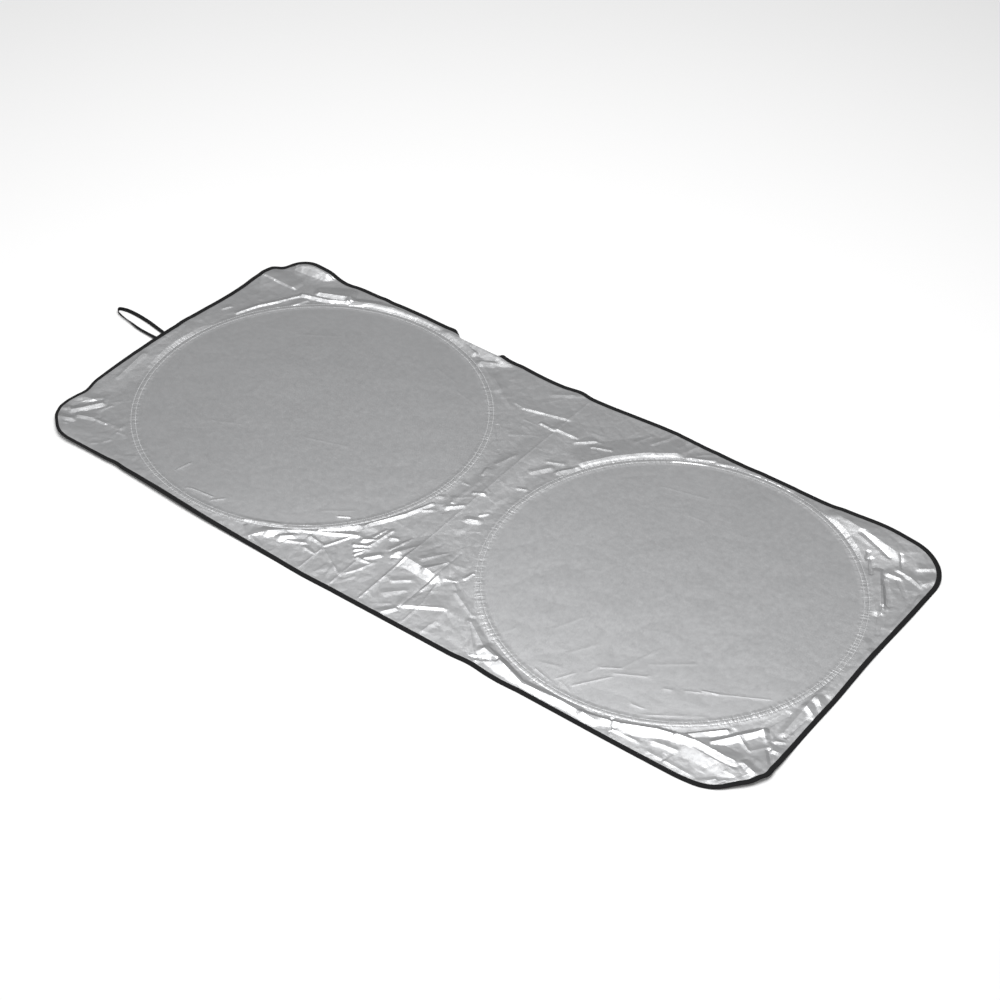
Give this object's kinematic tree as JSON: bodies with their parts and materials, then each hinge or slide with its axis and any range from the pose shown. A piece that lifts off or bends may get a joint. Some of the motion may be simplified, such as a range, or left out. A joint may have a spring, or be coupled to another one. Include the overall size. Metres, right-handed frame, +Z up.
{
  "type": "windscreen sunshade",
  "caption": "Rectangular silver fabric sunshade with rounded corners, held open by round spring-steel hoops sewn inside, bound in black tape with an elastic loop at one end.",
  "frame": {"origin": "on the floor under the middle of the whole object's box, which runs from the strap loop's tip to the far short end", "axes": "+X along the length, away from the strap loop; +Y across the sheet; +Z up, out of the sheet's silver face"},
  "size_m": [1.4086, 0.609, 0.0122],
  "materials": {
    "silver_fabric": "silver-coated taffeta, satin metallic sheen",
    "black_binding": "matt woven tape",
    "casing_tape": "matt woven tape",
    "spring_steel": "bare spring steel",
    "ferrule_metal": "satin",
    "black_elastic": "ribbed woven elastic"
  },
  "bodies": {
    "root": {"shade_panel": "silver_fabric", "edge_binding": "black_binding", "casing_left": "casing_tape", "casing_right": "casing_tape", "hoop_left": "spring_steel", "hoop_right": "spring_steel", "ferrule_left": "ferrule_metal", "ferrule_right": "ferrule_metal", "strap_loop": "black_elastic"}
  },
  "joints": []
}
